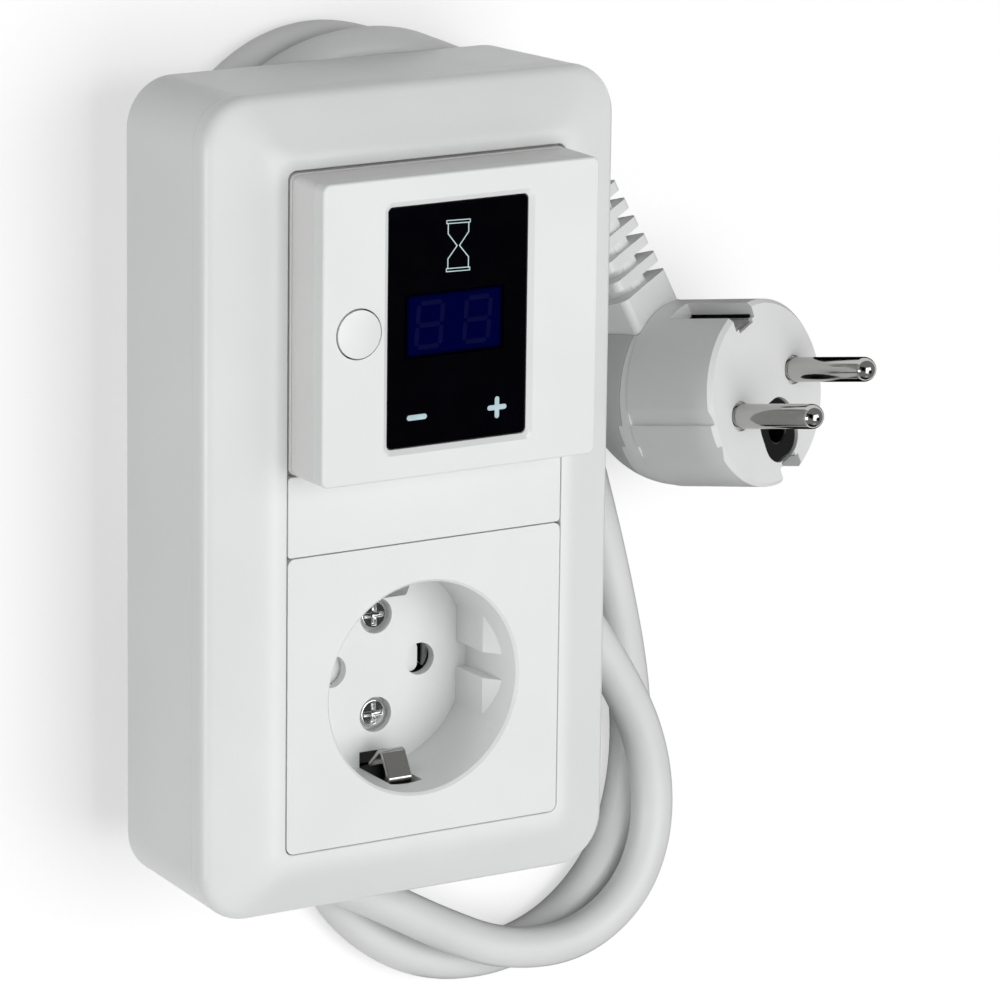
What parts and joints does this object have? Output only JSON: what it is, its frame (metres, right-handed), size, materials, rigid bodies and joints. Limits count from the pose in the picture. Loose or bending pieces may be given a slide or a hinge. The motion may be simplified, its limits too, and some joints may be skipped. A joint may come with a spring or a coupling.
{
  "type": "timer light switch",
  "caption": "Double surface box with a touch timer light switch above an earthed socket outlet, on a coiled lead with its plug.",
  "frame": {"origin": "middle of the unit's own box (box, frame and timer, without the lead and the plug)", "axes": "+X to the unit's right, +Y towards its top end with the timer, +Z out of its front; the unit lies on its back on its coiled lead"},
  "size_m": [0.1456, 0.1931, 0.0659],
  "materials": {
    "housing_white": "satin moulded thermoplastic",
    "timer_white": "satin moulded thermoplastic",
    "button_white": "polished moulded plastic",
    "dark_glass": "polished dark glass",
    "steel": "zinc plated steel",
    "nickel": "nickel plated brass",
    "base_grey": "moulded thermoset",
    "black_plastic": "polished black plastic",
    "board_green": "coated board",
    "relay_black": "moulded case",
    "capacitor_sleeve": "shrunk sleeve",
    "display_dark": "moulded display module",
    "copper": "enamelled copper winding",
    "cord_white": "soft moulded PVC",
    "plug_white": "moulded PVC",
    "wire_brown": "wire insulation",
    "wire_blue": "wire insulation",
    "wire_green": "wire insulation"
  },
  "bodies": {
    "root": {"back_box": "housing_white", "cover_frame": "housing_white", "filler_strip": "housing_white", "socket_yoke": "steel", "timer_yoke": "steel", "socket_yoke_screws": "steel", "timer_yoke_screws": "steel", "socket_cover": "housing_white", "cover_screws": "steel", "socket_base": "base_grey", "live_contact": "nickel", "neutral_contact": "nickel", "contact_screws": "steel", "earth_clip": "nickel", "timer_housing": "timer_white", "timer_bezel": "timer_white", "display_glass": "dark_glass", "tact_switch": "black_plastic", "front_board": "board_green", "display_module": "display_dark", "icon_light": "display_dark", "key_pads": "black_plastic", "power_board": "board_green", "board_header": "black_plastic", "relay": "relay_black", "capacitor": "capacitor_sleeve", "supply_core": "copper", "terminal_block": "base_grey", "terminal_screws": "steel", "cord_gland": "cord_white", "sheath_end": "cord_white", "cord_clamp": "base_grey", "clamp_screws": "steel", "wire_live": "wire_brown", "wire_neutral": "wire_blue", "wire_earth": "wire_green", "plug_body": "plug_white", "plug_rear_shell": "plug_white", "plug_strain_relief": "plug_white", "plug_pins": "nickel", "plug_earth_clips": "nickel", "plug_earth_insert": "black_plastic", "cord_lead_in": "cord_white", "cord_coil": "cord_white", "cord_lead_out": "cord_white"},
    "button": {"push_button": "button_white", "switch_plunger": "black_plastic"},
    "shutter": {"shutter": "housing_white"}
  },
  "joints": [
    {"name": "button_press", "type": "slide", "parent": "root", "child": "button", "axis": [0, 0, -1], "range_m": [0, 0.0006], "stiffness_N_per_m": 1500, "springref_m": -0.0005},
    {"name": "shutter_turn", "type": "hinge", "parent": "root", "child": "shutter", "pos_m": [0, -0.0355, -0.0083], "axis": [0, 0, 1], "range_deg": [0, 40], "stiffness_Nm_per_rad": 0.004, "springref_deg": -17.19}
  ]
}
